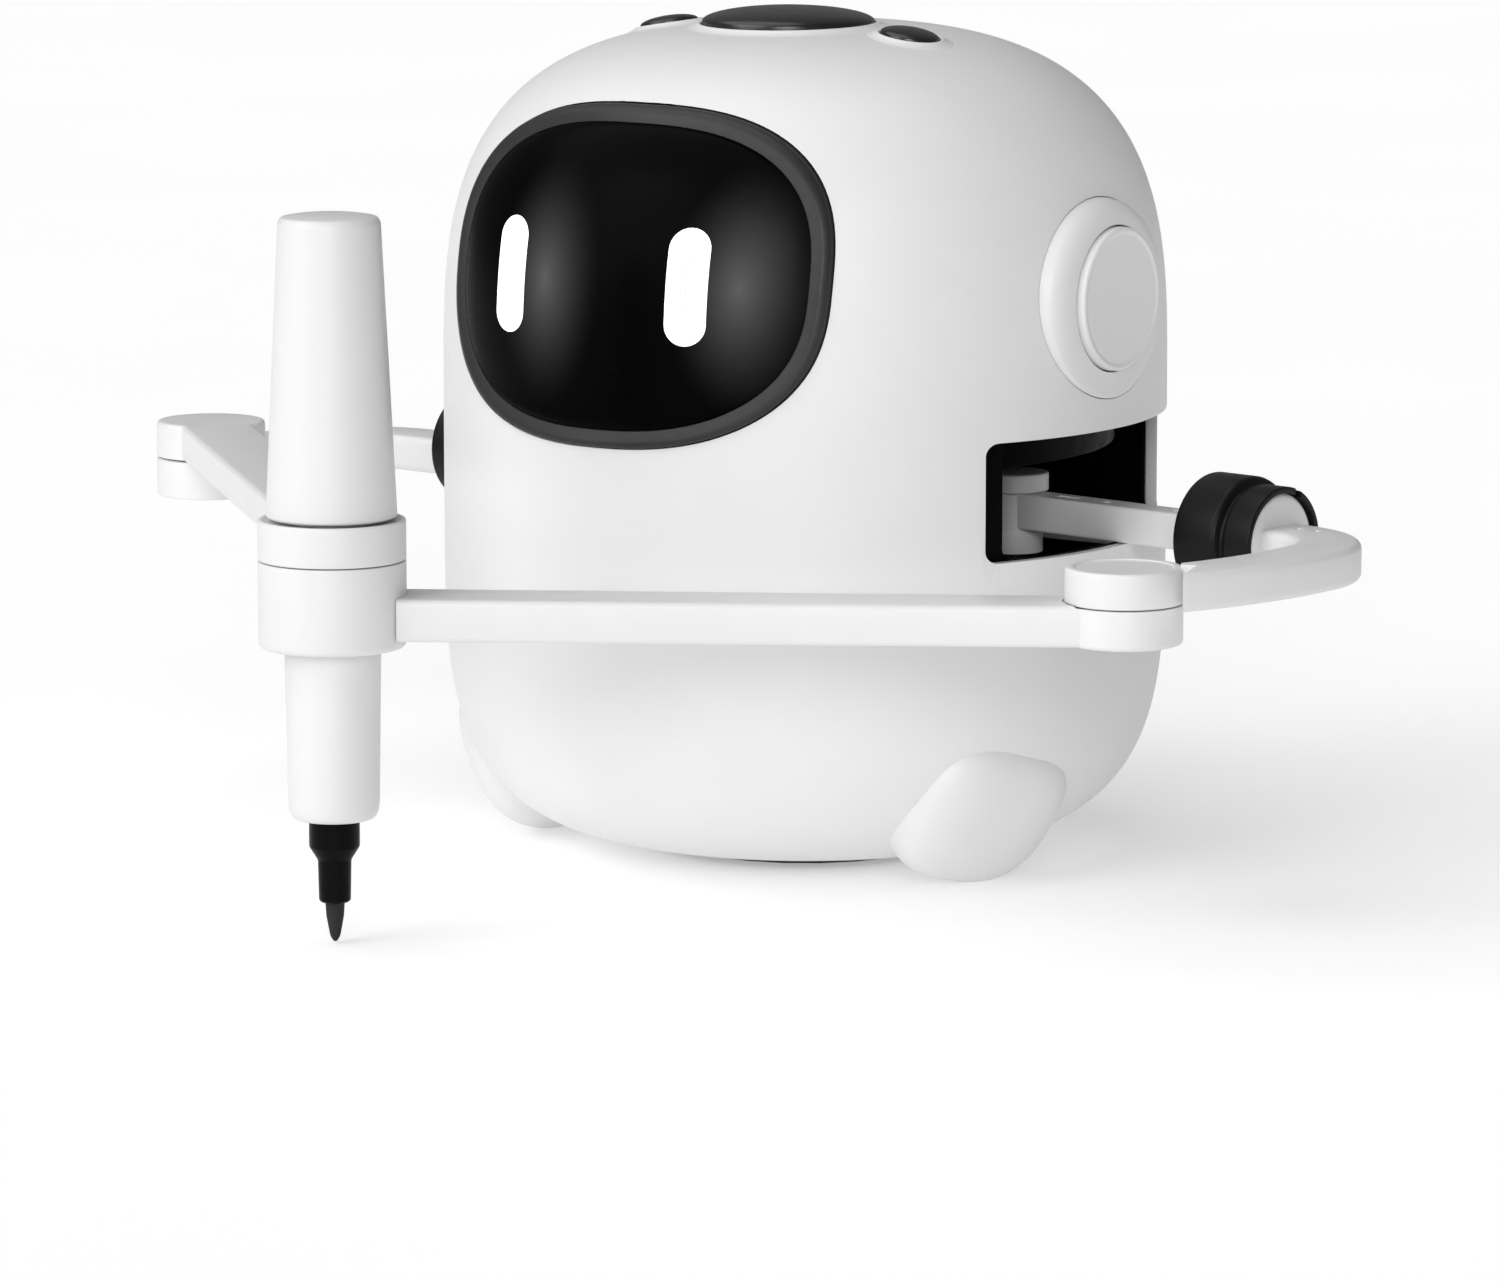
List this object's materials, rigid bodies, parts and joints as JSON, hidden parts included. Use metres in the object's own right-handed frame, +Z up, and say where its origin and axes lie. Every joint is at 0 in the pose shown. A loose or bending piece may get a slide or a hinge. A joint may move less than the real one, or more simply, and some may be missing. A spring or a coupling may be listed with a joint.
{
  "type": "desktop robot arm",
  "caption": "Egg-shaped desktop drawing robot with a screen face and two hooked, linked arms that hold a marker upright.",
  "frame": {"origin": "centre of the rubber base pad's underside, on the body's axis", "axes": "+Z up along the body's axis, the face looks along -Y, +X is the robot's own left side"},
  "size_m": [0.2491, 0.2006, 0.1508],
  "materials": {
    "shell_white": "fine matte moulded plastic",
    "arm_white": "satin moulded plastic",
    "cuff_black": "satin black plastic",
    "bezel_grey": "soft matte dark grey",
    "screen_black": "polished black lens",
    "eye_white": "lit white diffuser",
    "button_black": "satin black caps",
    "inner_black": "black moulded plastic",
    "pad_rubber": "soft rubber",
    "steel": "ground steel",
    "circuit_green": "solder mask",
    "battery_wrap": "shrink wrap",
    "motor_blue": "translucent moulded case",
    "pen_black": "black marker plastic",
    "felt": "ink-soaked felt"
  },
  "bodies": {
    "body": {"front_shell": "shell_white", "rear_shell": "shell_white", "face_bezel": "bezel_grey", "face_screen": "screen_black", "left_eye": "eye_white", "right_eye": "eye_white", "eye_board": "circuit_green", "left_ear_ring": "shell_white", "right_ear_ring": "shell_white", "left_ear_cap": "shell_white", "right_ear_cap": "shell_white", "button_board": "circuit_green", "base_plate": "inner_black", "base_pad": "pad_rubber", "left_foot": "shell_white", "right_foot": "shell_white", "shell_screw_1": "steel", "shell_screw_2": "steel", "shell_screw_3": "steel", "shell_screw_4": "steel", "head_tray": "inner_black", "chassis_plate": "inner_black", "guide_rod_1": "steel", "guide_rod_2": "steel", "battery_cell": "battery_wrap", "main_board": "circuit_green", "charge_socket": "steel", "lift_coil": "steel", "speaker": "inner_black"},
    "main_button_cap": {"main_button": "button_black"},
    "left_button_cap": {"left_button": "button_black"},
    "right_button_cap": {"right_button": "button_black"},
    "carriage": {"lift_carriage": "inner_black", "left_shoulder_motor": "motor_blue", "right_shoulder_motor": "motor_blue"},
    "left_arm": {"left_upper_arm": "arm_white", "left_cuff": "cuff_black"},
    "left_elbow_pivot": {"elbow_pin": "steel"},
    "left_forearm_link": {"left_forearm": "arm_white"},
    "pen_holder": {"pen_sleeve": "arm_white"},
    "pen": {"marker_barrel": "arm_white", "marker_collar": "pen_black", "marker_tip": "felt"},
    "right_forearm_link": {"right_forearm": "arm_white"},
    "right_arm": {"right_upper_arm": "arm_white", "right_cuff": "cuff_black"}
  },
  "joints": [
    {"name": "arm_lift", "type": "slide", "parent": "body", "child": "carriage", "axis": [0, 0, 1], "range_m": [0, 0.005]},
    {"name": "left_shoulder", "type": "hinge", "parent": "carriage", "child": "left_arm", "pos_m": [0.0375, 0.011, 0.062], "axis": [0, 0, 1], "range_deg": [-12, 12]},
    {"name": "right_shoulder", "type": "hinge", "parent": "carriage", "child": "right_arm", "pos_m": [-0.0375, 0.011, 0.062], "axis": [0, 0, 1], "range_deg": [-12, 12]},
    {"name": "left_elbow_turn", "type": "hinge", "parent": "left_arm", "child": "left_elbow_pivot", "pos_m": [0.09771, -0.049, 0.062], "axis": [0, 0, 1], "range_deg": [-12.5, 12.5]},
    {"name": "left_elbow", "type": "hinge", "parent": "left_elbow_pivot", "child": "left_forearm_link", "pos_m": [0.09771, -0.049, 0.062], "axis": [0, 0, 1], "range_deg": [-7.7, 7.7]},
    {"name": "pen_turn", "type": "hinge", "parent": "left_forearm_link", "child": "pen_holder", "pos_m": [-0.01273, -0.1231, 0.062], "axis": [0, 0, 1], "range_deg": [-8.2, 8.2]},
    {"name": "hub_turn", "type": "hinge", "parent": "pen_holder", "child": "right_forearm_link", "pos_m": [-0.01273, -0.1231, 0.062], "axis": [0, 0, 1], "range_deg": [-7.3, 7.3]},
    {"name": "pen_slide", "type": "slide", "parent": "pen_holder", "child": "pen", "axis": [0, 0, 1], "range_m": [0, 0.075]},
    {"name": "main_button_press", "type": "slide", "parent": "body", "child": "main_button_cap", "axis": [0, 0, -1], "range_m": [0, 0.001], "stiffness_N_per_m": 900},
    {"name": "left_button_press", "type": "slide", "parent": "body", "child": "left_button_cap", "axis": [0, 0, -1], "range_m": [0, 0.001], "stiffness_N_per_m": 500},
    {"name": "right_button_press", "type": "slide", "parent": "body", "child": "right_button_cap", "axis": [0, 0, -1], "range_m": [0, 0.001], "stiffness_N_per_m": 500}
  ],
  "couplings": [
    {"joint": "left_elbow_turn", "follows": "left_shoulder", "ratio": -1.0243},
    {"joint": "left_elbow", "follows": "right_shoulder", "ratio": 0.6293},
    {"joint": "pen_turn", "follows": "left_shoulder", "ratio": 0.6685},
    {"joint": "hub_turn", "follows": "right_shoulder", "ratio": -0.5947}
  ]
}
